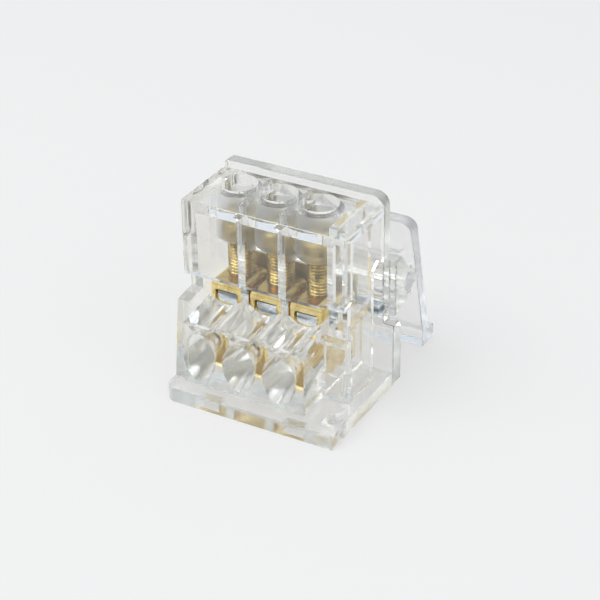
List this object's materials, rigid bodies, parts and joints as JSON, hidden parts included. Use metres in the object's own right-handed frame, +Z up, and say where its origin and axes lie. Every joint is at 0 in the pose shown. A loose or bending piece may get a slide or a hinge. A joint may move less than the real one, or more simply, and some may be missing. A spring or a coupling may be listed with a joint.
{
  "type": "equipotential bonding bar",
  "caption": "Clear bonding terminal block with wire funnels, brass box clamps on a shared bar, screw guide holes and a sprung latch behind.",
  "frame": {"origin": "under the middle of the outline, in the plane that the base stands on", "axes": "+Z up along the clamp screws, +Y from the wire funnels to the latch, +X towards the side bay"},
  "size_m": [0.042, 0.0512, 0.0466],
  "materials": {
    "clear_plastic": "polished clear",
    "milky_plastic": "milky, half clear",
    "tinned_copper": "bright tin",
    "brass": "bright"
  },
  "bodies": {
    "block": {"housing": "clear_plastic", "rear_cover": "clear_plastic", "bonding_bar": "tinned_copper"},
    "latch": {"rail_latch": "milky_plastic"},
    "screw_left": {"clamp_screw_left": "brass"},
    "screw_middle": {"clamp_screw_middle": "brass"},
    "screw_right": {"clamp_screw_right": "brass"},
    "cage_left": {"clamp_cage_left": "brass"},
    "cage_middle": {"clamp_cage_middle": "brass"},
    "cage_right": {"clamp_cage_right": "brass"}
  },
  "joints": [
    {"name": "latch_rock", "type": "hinge", "parent": "block", "child": "latch", "pos_m": [0, 0.0126, 0.0215], "axis": [1, 0, 0], "range_deg": [0, 12], "stiffness_Nm_per_rad": 0.05, "springref_deg": -11.46},
    {"name": "screw_left_turn", "type": "hinge", "parent": "block", "child": "screw_left", "pos_m": [-0.014, -0.0027, 0.03], "axis": [0, 0, -1], "range_deg": [0, 3601]},
    {"name": "screw_middle_turn", "type": "hinge", "parent": "block", "child": "screw_middle", "pos_m": [-0.004, -0.0027, 0.03], "axis": [0, 0, -1], "range_deg": [0, 3601]},
    {"name": "screw_right_turn", "type": "hinge", "parent": "block", "child": "screw_right", "pos_m": [0.006, -0.0027, 0.03], "axis": [0, 0, -1], "range_deg": [0, 3601]},
    {"name": "cage_left_lift", "type": "slide", "parent": "block", "child": "cage_left", "axis": [0, 0, 1], "range_m": [0, 0.008]},
    {"name": "cage_middle_lift", "type": "slide", "parent": "block", "child": "cage_middle", "axis": [0, 0, 1], "range_m": [0, 0.008]},
    {"name": "cage_right_lift", "type": "slide", "parent": "block", "child": "cage_right", "axis": [0, 0, 1], "range_m": [0, 0.008]}
  ],
  "couplings": [
    {"joint": "screw_left_turn", "follows": "cage_left_lift", "rad_per_m": 7854},
    {"joint": "screw_middle_turn", "follows": "cage_middle_lift", "rad_per_m": 7854},
    {"joint": "screw_right_turn", "follows": "cage_right_lift", "rad_per_m": 7854}
  ]
}
